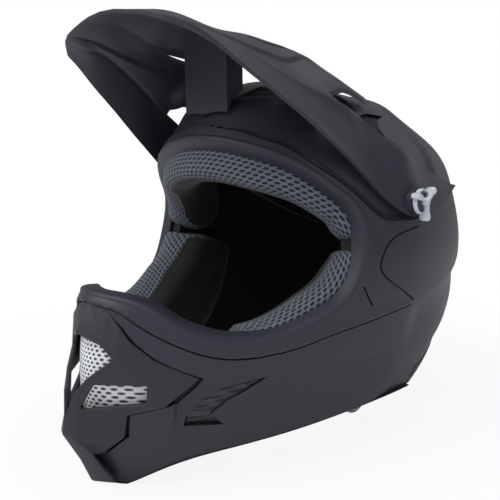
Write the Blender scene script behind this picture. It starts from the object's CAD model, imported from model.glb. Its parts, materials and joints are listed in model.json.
"""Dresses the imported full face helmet: lacquered shell and visor, muzzle guard, padding and hardware."""

import json
import logging
import math
from dataclasses import dataclass
from enum import Enum
from typing import Optional, Sequence, Union

import bmesh
import bpy
import numpy as np
from mathutils import Matrix, Vector

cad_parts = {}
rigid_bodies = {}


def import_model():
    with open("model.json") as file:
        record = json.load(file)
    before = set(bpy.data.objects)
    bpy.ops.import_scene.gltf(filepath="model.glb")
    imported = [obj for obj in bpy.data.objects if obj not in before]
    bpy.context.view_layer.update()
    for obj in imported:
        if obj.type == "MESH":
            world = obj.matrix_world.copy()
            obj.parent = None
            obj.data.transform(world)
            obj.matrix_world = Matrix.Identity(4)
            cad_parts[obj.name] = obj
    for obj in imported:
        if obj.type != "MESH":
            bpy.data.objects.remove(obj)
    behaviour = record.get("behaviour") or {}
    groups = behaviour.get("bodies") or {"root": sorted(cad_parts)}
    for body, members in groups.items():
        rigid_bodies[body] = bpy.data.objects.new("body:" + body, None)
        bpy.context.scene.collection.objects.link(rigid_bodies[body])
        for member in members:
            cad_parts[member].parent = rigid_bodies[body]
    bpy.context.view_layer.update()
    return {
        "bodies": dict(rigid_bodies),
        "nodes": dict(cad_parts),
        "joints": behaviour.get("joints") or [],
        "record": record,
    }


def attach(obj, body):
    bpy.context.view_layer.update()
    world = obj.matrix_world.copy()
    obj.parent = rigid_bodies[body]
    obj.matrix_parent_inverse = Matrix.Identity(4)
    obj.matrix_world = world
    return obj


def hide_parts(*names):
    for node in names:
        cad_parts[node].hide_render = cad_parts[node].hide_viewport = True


LOG = logging.getLogger("helmet")

MM = 0.001
SETBACK_MM = 11.697
SHELL_HALF_WIDTH = 120.0
SHELL_LENGTH = 375.0
SHELL_HEIGHT = 262.0
SHELL_WALL = 4.0
OVERRUN = 20.0
WHITE = (1.0, 1.0, 1.0, 1.0)
DENSE = 600
SOFTENING = 19

Array = np.ndarray
Point = Sequence[float]
Number = Union[int, float]
Colour = tuple[float, float, float, float]


class Body(Enum):
    """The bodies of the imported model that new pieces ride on."""

    HELMET = "helmet"
    VISOR = "visor"
    SCREW_LEFT = "screw_left"
    SCREW_RIGHT = "screw_right"


class Slot(Enum):
    """The record's material slots that new pieces fill."""

    SHELL = "shell"
    VISOR = "visor"
    GUARD = "guard"
    SKIRT = "skirt"
    TRIM = "trim"
    PAD = "pad_fabric"
    SCREW = "thumb_screw"
    WEBBING = "webbing"


class Side(Enum):
    """The wearer's left and right, as the sign of X."""

    LEFT = 1
    RIGHT = -1


class Wire:
    """A shader socket that can be used in arithmetic."""

    def __init__(self, shader: "NodeMaker", socket: bpy.types.NodeSocket) -> None:
        """Keeps the socket and the maker of its nodes."""
        self.shader = shader
        self.socket = socket

    def _math(self, operation: str, first: Union["Wire", Number], second: Union["Wire", Number]) -> "Wire":
        """One Math node on two numbers.

        Args:
            operation: the node's operation.
            first: the first number or socket.
            second: the second number or socket.

        Returns:
            The node's value.
        """
        return self.shader.node("ShaderNodeMath", {"operation": operation}, {0: first, 1: second})

    def __add__(self, other: Union["Wire", Number]) -> "Wire":
        """The sum."""
        return self._math("ADD", self, other)

    __radd__ = __add__

    def __mul__(self, other: Union["Wire", Number]) -> "Wire":
        """The product."""
        return self._math("MULTIPLY", self, other)

    __rmul__ = __mul__

    def __sub__(self, other: Union["Wire", Number]) -> "Wire":
        """The difference."""
        return self._math("SUBTRACT", self, other)

    def __rsub__(self, other: Number) -> "Wire":
        """The difference, reflected."""
        return self._math("SUBTRACT", other, self)

    def __truediv__(self, other: Union["Wire", Number]) -> "Wire":
        """The quotient."""
        return self._math("DIVIDE", self, other)

    def __gt__(self, other: Union["Wire", Number]) -> "Wire":
        """One where this is greater, else zero."""
        return self._math("GREATER_THAN", self, other)

    def fraction(self) -> "Wire":
        """The part after the point."""
        return self._math("FRACT", self, 0.0)

    def floor(self) -> "Wire":
        """The whole number below."""
        return self._math("FLOOR", self, 0.0)

    def absolute(self) -> "Wire":
        """The size without its sign."""
        return self._math("ABSOLUTE", self, 0.0)

    def sine(self) -> "Wire":
        """The sine."""
        return self._math("SINE", self, 0.0)

    def power(self, other: Number) -> "Wire":
        """This to a power."""
        return self._math("POWER", self, other)

    def ramp(self, low: float, high: float) -> "Wire":
        """A smooth rise from zero at low to one at high."""
        settings = {"interpolation_type": "SMOOTHSTEP", "clamp": True}
        return self.shader.node("ShaderNodeMapRange", settings, {0: self, 1: low, 2: high, 3: 0.0, 4: 1.0})


class NodeMaker:
    """A node tree and the one method that adds nodes to it."""

    def __init__(self, tree: bpy.types.NodeTree) -> None:
        """Keeps the tree."""
        self.tree = tree

    def node(self, kind: str, settings: dict, inputs: dict, output: Union[int, str] = 0) -> Wire:
        """Adds any node.

        Args:
            kind: the node's type name.
            settings: its properties.
            inputs: values or wires by socket index or name.
            output: the output socket to return.

        Returns:
            The chosen output.
        """
        made = self.tree.nodes.new(kind)
        for key, value in settings.items():
            setattr(made, key, value)
        for key, value in inputs.items():
            self.fill(made.inputs[key], value)
        return Wire(self, made.outputs[output])

    def fill(self, socket: bpy.types.NodeSocket, value: Union[Wire, Number, tuple]) -> None:
        """Links a wire to a socket, or sets the socket's own value."""
        if isinstance(value, Wire):
            self.tree.links.new(value.socket, socket)
        else:
            socket.default_value = value

    def finish(self, kind: str, surface: Wire) -> None:
        """Links a surface to the tree's output node, which is added if it is missing."""
        found = [node for node in self.tree.nodes if node.bl_idname == kind]
        output = found[0] if found else self.tree.nodes.new(kind)
        self.tree.links.new(surface.socket, output.inputs[0])


class Shader(NodeMaker):
    """One material and its nodes."""

    def __init__(self, name: str) -> None:
        """Starts a material with a Principled shader.

        Args:
            name: the material's name.
        """
        self.material = bpy.data.materials.new(name)
        self.material.use_nodes = True
        super().__init__(self.material.node_tree)
        self.bsdf = self.tree.nodes["Principled BSDF"]

    def place(self, output: str = "Object") -> Wire:
        """Texture coordinates, fixed to the piece."""
        return self.node("ShaderNodeTexCoord", {}, {}, output)

    def split(self, vector: Wire) -> tuple[Wire, ...]:
        """The three numbers of a vector."""
        first = self.node("ShaderNodeSeparateXYZ", {}, {0: vector})
        return tuple(Wire(self, socket) for socket in first.socket.node.outputs)

    def noise(self, scale: float, detail: float = 3.0) -> Wire:
        """Noise over the piece, from features per metre and octaves."""
        inputs = {"Vector": self.place(), "Scale": scale, "Detail": detail}
        return self.node("ShaderNodeTexNoise", {}, inputs, "Fac")

    def blend(self, factor: Wire, first: Union[Wire, Colour], second: Union[Wire, Colour]) -> Wire:
        """A mix of two colours.

        Args:
            factor: zero for the first colour, one for the second.
            first: the first colour.
            second: the second colour.

        Returns:
            The mixed colour.
        """
        settings = {"data_type": "RGBA", "clamp_factor": True}
        return self.node("ShaderNodeMix", settings, {0: factor, 6: first, 7: second}, 2)

    def bump(self, height: Wire, depth: float) -> Wire:
        """A bumped normal, from a height of zero to one and how deep one is in metres."""
        return self.node("ShaderNodeBump", {}, {"Height": height, "Distance": depth, "Strength": 1.0})

    def set(self, **sockets: Union[Wire, Number, tuple]) -> bpy.types.Material:
        """Sets or links the Principled shader's sockets, whose names have _ for a space."""
        for name, value in sockets.items():
            self.fill(self.bsdf.inputs[name.replace("_", " ")], value)
        return self.material


def grey(red: float, green: float, blue: float) -> Colour:
    """A linear colour from 8-bit display values.

    Args:
        red: the display red, 0 to 255.
        green: the display green.
        blue: the display blue.

    Returns:
        The linear colour with full alpha.
    """
    shares = [value / 255 for value in (red, green, blue)]
    linear = [s / 12.92 if s <= 0.04045 else ((s + 0.055) / 1.055) ** 2.4 for s in shares]
    return (*linear, 1.0)


def scaled(colour: Colour, share: float) -> Colour:
    """A colour made darker or lighter by a share, within full brightness."""
    return tuple(min(1.0, channel * share) for channel in colour[:3]) + (1.0,)


@dataclass(frozen=True)
class Lacquer:
    """A matte lacquer over a moulded shell, with a fine grain and a faint wander of gloss."""

    name: str
    colour: Colour
    rough: float = 0.46
    rough_wander: float = 0.10
    grain: float = 0.00004
    grain_scale: float = 2600.0
    wander_scale: float = 9.0

    def make(self) -> bpy.types.Material:
        """The lacquer's material."""
        shader = Shader(self.name)
        wander = shader.noise(self.wander_scale, 4.0)
        speck = shader.noise(self.grain_scale, 2.0)
        return shader.set(
            Base_Color=shader.blend(wander, scaled(self.colour, 0.86), scaled(self.colour, 1.18)),
            Roughness=wander * self.rough_wander + (self.rough - self.rough_wander / 2),
            Normal=shader.bump(speck, self.grain),
            Specular_IOR_Level=0.42,
        )


@dataclass(frozen=True)
class SpacerMesh:
    """Spacer fabric: pale yarn round rows of dark oval holes, laid out on the piece's own UV map."""

    name: str = "spacer_mesh"
    yarn: Colour = grey(104, 111, 122)
    hole: Colour = grey(18, 20, 28)
    lining: Colour = grey(7, 7, 9)
    pitch_along: float = 0.0048
    pitch_across: float = 0.0031
    slant: float = 0.55
    flatness: float = 1.1
    hole_rim: tuple = (0.27, 0.40)
    twist_scale: float = 5200.0
    depth: float = 0.0009

    def make(self) -> bpy.types.Material:
        """The fabric's material: U and V are metres along and across, and V past one metre is lining."""
        shader = Shader(self.name)
        along, across, _ = shader.split(shader.place("UV"))
        row = across / self.pitch_across
        column = (along / self.pitch_along + row.floor() * 0.5).fraction() - 0.5
        line = row.fraction() - 0.5
        slanted = column - line * self.slant
        solid = (slanted * slanted + line * line * self.flatness).power(0.5).ramp(*self.hole_rim)
        lined = across > 1.0
        twist = ((along * self.twist_scale).sine() * (across * self.twist_scale).sine()) * 0.5 + 0.5
        pale = shader.blend(shader.noise(60.0, 4.0), scaled(self.yarn, 0.8), self.yarn)
        height = (solid + twist * 0.25) * (1.0 - lined)
        return shader.set(
            Base_Color=shader.blend(lined, shader.blend(solid, self.hole, pale), self.lining),
            Roughness=0.86,
            Sheen_Weight=0.1,
            Normal=shader.bump(height, self.depth),
        )


@dataclass(frozen=True)
class Fabric:
    """A plain knitted or brushed cloth."""

    name: str
    colour: Colour
    scale: float = 900.0
    depth: float = 0.0004

    def make(self) -> bpy.types.Material:
        """The cloth's material."""
        shader = Shader(self.name)
        x, _, z = shader.split(shader.place())
        weave = (x * self.scale * 3.0).sine() * (z * self.scale * 3.0).sine() * 0.5 + 0.5
        fuzz = shader.noise(self.scale)
        return shader.set(
            Base_Color=shader.blend(fuzz, scaled(self.colour, 0.6), self.colour),
            Roughness=0.9,
            Sheen_Weight=0.2,
            Normal=shader.bump(weave * 0.5 + fuzz, self.depth),
        )


@dataclass(frozen=True)
class Plastic:
    """Moulded plastic or rubber with a fine spark texture."""

    name: str
    colour: Colour
    rough: float = 0.55
    rough_wander: float = 0.12
    grain: float = 0.00003
    grain_scale: float = 1500.0

    def make(self) -> bpy.types.Material:
        """The plastic's material."""
        shader = Shader(self.name)
        speck = shader.noise(self.grain_scale, 2.0)
        cloud = shader.noise(30.0)
        return shader.set(
            Base_Color=shader.blend(cloud, scaled(self.colour, 0.8), self.colour),
            Roughness=cloud * self.rough_wander + (self.rough - self.rough_wander / 2),
            Normal=shader.bump(speck, self.grain),
        )


@dataclass(frozen=True)
class ClearMoulding:
    """Pale clear plastic, bright on its rims and prongs and grey in its hollows."""

    name: str = "pale_clear_plastic"
    pale: Colour = grey(206, 208, 216)
    hollow: Colour = grey(96, 97, 106)
    face: tuple = (0.1254, 0.1288)
    rim: tuple = (0.0064, 0.0073)
    mottle_scale: float = 520.0

    def make(self) -> bpy.types.Material:
        """The moulding's material."""
        shader = Shader(self.name)
        x, y, z = shader.split(shader.place())
        lifted = x.absolute().ramp(*self.face)
        off_y, off_z = y - (PIVOT[0] + SETBACK_MM) * MM, z - PIVOT[1] * MM
        out = (off_y * off_y + off_z * off_z).power(0.5).ramp(*self.rim)
        mottle = shader.noise(self.mottle_scale)
        solid = (lifted + out).ramp(0.0, 0.9) * (mottle * 0.5 + 0.7)
        return shader.set(
            Base_Color=shader.blend(solid, self.hollow, self.pale),
            Roughness=mottle * 0.2 + 0.12,
            Coat_Weight=0.4,
            Normal=shader.bump(mottle, 0.0002),
        )


@dataclass(frozen=True)
class PiercedSheet:
    """A thin sheet with staggered rows of small round holes, seen from in front."""

    name: str
    sheet: Colour
    hole: Colour
    pitch: float = 0.0030
    row_share: float = 0.866
    hole_rim: tuple = (0.21, 0.33)
    depth: float = 0.0004

    def make(self) -> bpy.types.Material:
        """The sheet's material."""
        shader = Shader(self.name)
        x, y, z = shader.split(shader.place())
        row = z / (self.pitch * self.row_share)
        column = ((x - y * 0.7) / self.pitch + row.floor() * 0.5).fraction() - 0.5
        line = (row.fraction() - 0.5) * self.row_share
        solid = (column * column + line * line).power(0.5).ramp(*self.hole_rim)
        return shader.set(
            Base_Color=shader.blend(solid, self.hole, self.sheet),
            Roughness=0.5,
            Normal=shader.bump(solid, self.depth),
        )


@dataclass(frozen=True)
class BeadFoam:
    """Black painted bead foam."""

    name: str = "bead_foam"
    colour: Colour = grey(17, 17, 21)
    beads_per_metre: float = 260.0
    depth: float = 0.0005

    def make(self) -> bpy.types.Material:
        """The foam's material."""
        shader = Shader(self.name)
        inputs = {"Vector": shader.place(), "Scale": self.beads_per_metre}
        cell = shader.node("ShaderNodeTexVoronoi", {"feature": "DISTANCE_TO_EDGE"}, inputs, "Distance")
        edge = cell.ramp(0.0, 0.18)
        return shader.set(
            Base_Color=shader.blend(edge, scaled(self.colour, 0.5), self.colour),
            Roughness=0.75,
            Normal=shader.bump(edge, self.depth),
        )


@dataclass(frozen=True)
class Metal:
    """Turned or plated metal with fine streaks."""

    name: str
    colour: Colour
    rough: float = 0.3
    rough_wander: float = 0.2

    def make(self) -> bpy.types.Material:
        """The metal's material."""
        shader = Shader(self.name)
        streak = shader.noise(700.0, 5.0)
        return shader.set(
            Base_Color=shader.blend(streak, scaled(self.colour, 0.75), self.colour),
            Metallic=1.0,
            Roughness=streak * self.rough_wander + (self.rough - self.rough_wander / 2),
        )


class Finishes:
    """All the helmet's materials."""

    def __init__(self) -> None:
        """Makes every material once."""
        self.shell = Lacquer("matte_slate_lacquer", grey(44, 45, 55)).make()
        self.visor = Lacquer("matte_slate_visor", grey(43, 44, 54), rough=0.48).make()
        self.guard = Lacquer("matte_slate_guard", grey(41, 42, 51), rough=0.52).make()
        self.skirt = Lacquer("matte_slate_skirt", grey(41, 42, 49), rough=0.55).make()
        self.lip = Lacquer("matte_slate_lip", grey(44, 45, 55), rough=0.52).make()
        self.rubber = Plastic("black_rubber", grey(30, 30, 34), rough=0.7).make()
        self.pale_mesh = PiercedSheet("pale_pierced_sheet", grey(236, 237, 238), grey(60, 62, 68)).make()
        self.dark_mesh = PiercedSheet("dark_pierced_sheet", grey(46, 48, 54), grey(12, 12, 14)).make()
        self.foam = BeadFoam().make()
        self.pad = SpacerMesh().make()
        self.lining = Fabric("brushed_lining", grey(12, 12, 16)).make()
        self.plate = Plastic("black_plate", grey(28, 28, 32)).make()
        self.screw = ClearMoulding().make()
        self.brass = Metal("turned_brass", grey(190, 160, 95)).make()
        self.webbing = Fabric("woven_webbing", grey(28, 28, 31), scale=1300.0).make()
        self.steel = Metal("plated_steel", grey(176, 178, 182)).make()


def to_metres(points: Array) -> Array:
    """Turns the helmet's own millimetres into the frame's metres."""
    return (np.asarray(points, float) + (0.0, SETBACK_MM, 0.0)) * MM


def at_x(share: float) -> float:
    """A width from its share of the half width."""
    return share * SHELL_HALF_WIDTH


def at_y(share: float) -> float:
    """A place along the helmet from its share of the length."""
    return share * SHELL_LENGTH


def at_z(share: float) -> float:
    """A height from its share of the shell's height."""
    return share * SHELL_HEIGHT


def in_side(shares: Sequence[Point]) -> Array:
    """Side view points in millimetres."""
    return np.array([(at_y(y), at_z(z)) for y, z in shares])


def run_along(line: Array) -> Array:
    """How far along a line each of its points lies."""
    return np.concatenate([[0], np.cumsum(np.linalg.norm(np.diff(line, axis=0), axis=1))])


def unit(vectors: Array) -> Array:
    """Vectors of length one."""
    return vectors / np.linalg.norm(vectors, axis=-1, keepdims=True)


class SmoothTable:
    """A natural cubic curve through a table of values."""

    def __init__(self, places: Sequence[float], values: Sequence[float]) -> None:
        """Solves for the curve's bends.

        Args:
            places: rising places.
            values: the value at each place.
        """
        self.x = np.array(places, float)
        self.y = np.array(values, float)
        count = len(self.x)
        step = np.diff(self.x)
        system = np.eye(count)
        target = np.zeros(count)
        for i in range(1, count - 1):
            system[i, i - 1 : i + 2] = step[i - 1], 2 * (step[i - 1] + step[i]), step[i]
            target[i] = 6 * ((self.y[i + 1] - self.y[i]) / step[i] - (self.y[i] - self.y[i - 1]) / step[i - 1])
        self.bend = np.linalg.solve(system, target)

    def __call__(self, at: Union[float, Array]) -> Array:
        """The curve's value at each place."""
        at = np.clip(np.asarray(at, float), self.x[0], self.x[-1])
        i = np.clip(np.searchsorted(self.x, at) - 1, 0, len(self.x) - 2)
        h = self.x[i + 1] - self.x[i]
        a = (self.x[i + 1] - at) / h
        b = (at - self.x[i]) / h
        cubic = ((a**3 - a) * self.bend[i] + (b**3 - b) * self.bend[i + 1]) * h**2 / 6
        return a * self.y[i] + b * self.y[i + 1] + cubic


def smooth_line(points: Array, count: int, closed: bool = False) -> Array:
    """A smooth line through points, evenly spaced.

    Args:
        points: the points, of any dimension.
        count: how many points to return.
        closed: whether the line joins its ends.

    Returns:
        The even points.
    """
    points = np.asarray(points, float)
    if closed:
        points = np.vstack([points[-3:], points, points[:3]])
    run = run_along(points)
    curves = [SmoothTable(run, points[:, i]) for i in range(points.shape[1])]
    start, end = (run[3], run[-3]) if closed else (run[0], run[-1])
    dense = np.linspace(start, end, count * 8)
    line = np.stack([curve(dense) for curve in curves], axis=1)
    return even_line(line, count, closed)


def even_line(line: Array, count: int, closed: bool = False) -> Array:
    """A line's points spaced evenly along it."""
    run = run_along(line)
    places = np.linspace(0, run[-1], count + 1)[:-1] if closed else np.linspace(0, run[-1], count)
    return np.stack([np.interp(places, run, line[:, i]) for i in range(line.shape[1])], axis=1)


def smooth_step(low: float, high: float, value: Array) -> Array:
    """A smooth rise from zero at low to one at high."""
    t = np.clip((value - low) / (high - low), 0, 1)
    return t * t * (3 - 2 * t)


def side_distance(points: Array, y: Array, z: Array) -> tuple[Array, Array]:
    """How far side view places lie from a line, and on which side.

    Args:
        points: the line's side view points.
        y: places along the helmet.
        z: heights.

    Returns:
        The distance, and the signed distance that is positive on the line's left.
    """
    best = np.full(y.shape, np.inf)
    signed = np.zeros(y.shape)
    for (ya, za), (yb, zb) in zip(points[:-1], points[1:]):
        run, rise = yb - ya, zb - za
        length = math.hypot(run, rise)
        t = np.clip(((y - ya) * run + (z - za) * rise) / length**2, 0, 1)
        gap = np.hypot(y - ya - t * run, z - za - t * rise)
        cross = (run * (z - za) - rise * (y - ya)) / length
        nearer = gap < best
        best = np.where(nearer, gap, best)
        signed = np.where(nearer, np.sign(cross) * gap, signed)
    return best, signed


def new_object(name: str, points: Array, faces: Sequence[Sequence[int]]) -> bpy.types.Object:
    """A mesh object from points in the helmet's millimetres."""
    mesh = bpy.data.meshes.new(name)
    mesh.from_pydata([tuple(p) for p in to_metres(points)], [], [tuple(map(int, f)) for f in faces])
    mesh.validate()
    made = bpy.data.objects.new(name, mesh)
    bpy.context.collection.objects.link(made)
    return made


def grid_faces(rows: int, columns: int, around: bool, start: int = 0, flip: bool = False) -> list:
    """The quads of a grid of points stored row by row.

    Args:
        rows: rows of points.
        columns: points in a row.
        around: whether each row closes on itself.
        start: the first point's index.
        flip: whether the faces turn the other way.

    Returns:
        The faces.
    """
    faces = []
    last = columns if around else columns - 1
    for r in range(rows - 1):
        for c in range(last):
            d = (c + 1) % columns
            face = [start + r * columns + c, start + r * columns + d,
                    start + (r + 1) * columns + d, start + (r + 1) * columns + c]
            faces.append(face[::-1] if flip else face)
    return faces


def tube(name: str, rings: Array, closed: bool = False) -> bpy.types.Object:
    """A closed solid from rings of points along a line.

    Args:
        name: the object's name.
        rings: an array of rings by points by three.
        closed: whether the last ring joins the first.

    Returns:
        The object.
    """
    count, sides = rings.shape[:2]
    points = rings.reshape(-1, 3)
    faces = grid_faces(count, sides, True)
    if closed:
        for c in range(sides):
            d = (c + 1) % sides
            faces.append([(count - 1) * sides + c, (count - 1) * sides + d, d, c])
    else:
        faces.append(list(range(sides))[::-1])
        faces.append(list(range((count - 1) * sides, count * sides)))
    made = new_object(name, points, faces)
    fix_normals(made)
    return made


def fix_normals(piece: bpy.types.Object) -> None:
    """Turns a closed mesh's faces outwards."""
    work = bmesh.new()
    work.from_mesh(piece.data)
    bmesh.ops.recalc_face_normals(work, faces=work.faces)
    work.to_mesh(piece.data)
    work.free()


def side_prism(name: str, outline: Array, start: Optional[float] = None) -> bpy.types.Object:
    """A cutter from a side view outline, right across the helmet or outwards on both sides.

    Args:
        name: the object's name.
        outline: side view points, in millimetres.
        start: how far off the middle both sides start, or nothing for one prism right across.

    Returns:
        The cutter.
    """
    far = SHELL_HALF_WIDTH + OVERRUN
    spans = [(-far, far)] if start is None else [(start, far), (-far, -start)]
    return prisms(name, [[[(x, y, z) for y, z in outline] for x in span] for span in spans])


def prisms(name: str, pairs: Sequence[Sequence[Sequence[Point]]]) -> bpy.types.Object:
    """Closed prisms, each between two outlines of as many points."""
    points, faces = [], []
    for low, high in pairs:
        base, count = len(points), len(low)
        points += [*low, *high]
        faces.append([base + i for i in range(count)])
        faces.append([base + count + i for i in reversed(range(count))])
        for i in range(count):
            j = (i + 1) % count
            faces.append([base + j, base + i, base + count + i, base + count + j])
    made = new_object(name, np.array(points, float), faces)
    fix_normals(made)
    return made


def plan_prism(name: str, outline: Sequence[Point], low: float, high: float) -> bpy.types.Object:
    """A cutter up the helmet from one side's plan outline, with its mirror image."""
    return prisms(name, [[[(sign * x, y, z) for x, y in outline] for z in (low, high)] for sign in (1, -1)])


def front_pair(outline: Sequence[Point], start: float, end: float) -> list[list[Point]]:
    """A front view outline at two shares of the helmet's length, for a prism."""
    return [[(x, at_y(share), z) for x, z in outline] for share in (start, end)]


def disc(name: str, side: Side, radius: float, span: Sequence[float], sides: int = 48) -> bpy.types.Object:
    """A round bar along X at the visor's pivot, on one side.

    Args:
        name: the object's name.
        side: the wearer's left or right.
        radius: its radius.
        span: its two ends off the middle.
        sides: how many sides stand for the round.

    Returns:
        The bar.
    """
    turns = np.arange(sides) * 2 * math.pi / sides
    y, z = PIVOT[0] + radius * np.cos(turns), PIVOT[1] + radius * np.sin(turns)
    return prisms(name, [[np.stack([np.full(sides, side.value * x), y, z], axis=1) for x in span]])


def combine(piece: bpy.types.Object, tools: Sequence[bpy.types.Object], operation: str = "DIFFERENCE") -> None:
    """Cuts tools from a piece, joins them to it or keeps what it shares with them, and removes the tools.

    Args:
        piece: the piece to change.
        tools: closed meshes.
        operation: the boolean operation.
    """
    for tool in tools:
        modifier = piece.modifiers.new("cut", "BOOLEAN")
        modifier.operation = operation
        modifier.solver = "MANIFOLD"
        modifier.object = tool
        settle(piece)
        bpy.data.objects.remove(tool)


def settle(piece: bpy.types.Object) -> None:
    """Applies all modifiers of a piece."""
    graph = bpy.context.evaluated_depsgraph_get()
    mesh = bpy.data.meshes.new_from_object(piece.evaluated_get(graph))
    piece.modifiers.clear()
    piece.data = mesh


def round_edges(piece: bpy.types.Object, width: float, segments: int, angle: float) -> None:
    """Rounds a piece's edges.

    Args:
        piece: the piece.
        width: the rounding's width in millimetres.
        segments: its faces across.
        angle: the least turn of an edge in degrees.
    """
    rounding = piece.modifiers.new("edges", "BEVEL")
    rounding.width = width * MM
    rounding.segments = segments
    rounding.limit_method = "ANGLE"
    rounding.angle_limit = math.radians(angle)
    settle(piece)


def shade(piece: bpy.types.Object, angle: float = 32.0) -> None:
    """Smooth shading with sharp edges above an angle in degrees."""
    for polygon in piece.data.polygons:
        polygon.use_smooth = True
    piece.data.set_sharp_from_angle(angle=math.radians(angle))


def dress(piece: bpy.types.Object, material: bpy.types.Material, body: Body, slot: Slot, *nodes: str) -> None:
    """Finishes a piece: its material, body, slot and the nodes that it stands for.

    Args:
        piece: the piece.
        material: its material.
        body: the body that it rides on.
        slot: the record's material slot.
        nodes: the nodes that it replaces.
    """
    piece.data.materials.clear()
    piece.data.materials.append(material)
    for polygon in piece.data.polygons:
        polygon.material_index = 0
    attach(piece, body.value)
    if nodes:
        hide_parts(*nodes)
    LOG.info("%s: %d faces", piece.name, len(piece.data.polygons))


@dataclass
class ShellForm:
    """The helmet's outer surface: plan sections joined up its height, in shares of the shell's size."""

    levels: tuple = (-0.05, 0.0, 0.115, 0.248, 0.382, 0.534, 0.687, 0.809, 0.901, 0.966, 1.0)
    half_widths: tuple = (0.66, 0.69, 0.81, 0.90, 0.96, 0.992, 0.958, 0.870, 0.690, 0.470, 0.190)
    rears: tuple = (0.322, 0.331, 0.376, 0.413, 0.429, 0.427, 0.389, 0.331, 0.251, 0.165, 0.056)
    fronts: tuple = (0.470, 0.480, 0.517, 0.535, 0.528, 0.480, 0.350, 0.278, 0.219, 0.148, 0.059)
    centres: tuple = (0.021, 0.021, 0.027, 0.032, 0.037, 0.040, 0.037, 0.027, 0.008, -0.011, -0.024)
    powers: tuple = (1.6, 1.6, 1.6, 1.6, 1.65, 1.66, 1.73, 1.9, 2.0, 2.0, 2.0)
    rear_power: float = 2.15
    waist: int = 5
    probe: float = 0.5
    halvings: int = 30
    peak_gap: float = 0.01

    def __post_init__(self) -> None:
        """Makes the smooth tables."""
        self.width = SmoothTable(self.levels, self.half_widths)
        self.rear = SmoothTable(self.levels, self.rears)
        self.front = SmoothTable(self.levels, self.fronts)
        self.centre = SmoothTable(self.levels, self.centres)
        self.power = SmoothTable(self.levels, self.powers)

    def sizes(self, level: Array, inset: float) -> tuple[Array, Array, Array, Array, Array, Array]:
        """Height, half width, rear, front, middle and front power at a level, drawn in by inset."""
        waist = self.levels[self.waist]
        above = level > waist
        width, rear, front = at_x(self.width(level)), at_y(self.rear(level)), at_y(self.front(level))
        shrink = [1 - inset / at_x(self.half_widths[self.waist]), 1 - inset / at_y(self.rears[self.waist]),
                  1 - inset / at_y(self.fronts[self.waist])]
        width = np.where(above, width * shrink[0], width - inset)
        rear = np.where(above, rear * shrink[1], rear - inset)
        front = np.where(above, front * shrink[2], front - inset)
        top = (SHELL_HEIGHT - at_z(waist) - inset) / (SHELL_HEIGHT - at_z(waist))
        height = np.where(above, at_z(waist) + (at_z(level) - at_z(waist)) * top, at_z(level))
        return height, width, rear, front, at_y(self.centre(level)), self.power(level)

    def points(self, level: Array, turn: Array, inset: float = 0.0) -> Array:
        """Surface points at levels and turns, where turn zero is the back and half a turn the front."""
        height, width, rear, front, middle, power = self.sizes(level, inset)
        across, along = np.sin(turn), np.cos(turn)
        index = 2 / np.where(along > 0, self.rear_power, power)
        x = width * np.sign(across) * np.abs(across) ** index
        reach = np.where(along > 0, rear, front)
        y = middle + reach * np.sign(along) * np.abs(along) ** index
        return np.stack([x, y, height + 0 * x], axis=-1)

    def half_width_at(self, y: Array, z: Array, inset: float = 0.0) -> Array:
        """How far off the middle the surface lies at side view places, or zero beyond it."""
        height, width, rear, front, middle, power = self.sizes(np.asarray(z) / SHELL_HEIGHT, inset)
        reach = np.where(y > middle, rear, front)
        index = np.where(y > middle, self.rear_power, power)
        left = np.clip(1 - np.abs((y - middle) / reach) ** index, 0, None)
        return width * left ** (1 / index)

    def normals(self, points: Array) -> Array:
        """Outward normals at surface points, from the surface's slope around them."""
        shifts = np.eye(3) * self.probe
        slopes = [self._inside(points + shift) - self._inside(points - shift) for shift in shifts]
        return unit(np.stack(slopes, axis=1))

    def _inside(self, points: Array) -> Array:
        """A field that rises outwards through the surface."""
        x, y, z = points.T
        height, width, rear, front, middle, power = self.sizes(z / SHELL_HEIGHT, 0.0)
        reach = np.where(y > middle, rear, front)
        index = np.where(y > middle, self.rear_power, power)
        return np.abs(x / width) ** index + np.abs((y - middle) / reach) ** index

    def height_at(self, x: Array, y: Array) -> Array:
        """How high the crown lies over plan places."""
        low = np.full(x.shape, at_z(self.levels[self.waist]))
        high = np.full(x.shape, SHELL_HEIGHT - self.peak_gap)
        for _ in range(self.halvings):
            z = (low + high) / 2
            inside = self._inside(np.stack([x, y, z], axis=-1).reshape(-1, 3)).reshape(x.shape) < 1
            low, high = np.where(inside, z, low), np.where(inside, high, z)
        return (low + high) / 2

    def on_side(self, line: Array, side: Side, inset: float = 0.0) -> Array:
        """Surface points at a side view line, on one side of the helmet."""
        x = self.half_width_at(line[:, 0], line[:, 1], inset)
        return np.stack([side.value * x, line[:, 0], line[:, 1]], axis=1)


PORT_EDGE = (
    (-0.467, 0.484), (-0.443, 0.473), (-0.421, 0.450), (-0.400, 0.416), (-0.371, 0.389),
    (-0.339, 0.370), (-0.304, 0.362), (-0.267, 0.362), (-0.229, 0.375), (-0.180, 0.405),
    (-0.139, 0.440), (-0.116, 0.485), (-0.101, 0.540), (-0.094, 0.600), (-0.102, 0.665),
    (-0.131, 0.715), (-0.164, 0.763), (-0.188, 0.795), (-0.214, 0.823), (-0.238, 0.848),
    (-0.262, 0.858),
)
BASE_EDGE = (
    (-0.510, -0.012), (-0.440, 0.0), (-0.418, 0.028), (-0.380, 0.062), (-0.310, 0.085),
    (-0.210, 0.099), (-0.090, 0.113), (0.015, 0.116), (0.110, 0.100), (0.230, 0.048),
    (0.310, 0.0), (0.450, -0.012),
)
PIVOT = (SHELL_LENGTH * 0.006, SHELL_HEIGHT * 0.676)
AHEAD = -0.62
BEHIND = 0.62
UNDER = -0.12
SKIRT_EDGE = ((0.136, UNDER), (0.136, 0.160), (0.175, 0.162), (0.205, 0.178), (BEHIND, 0.196), (BEHIND, UNDER))
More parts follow.
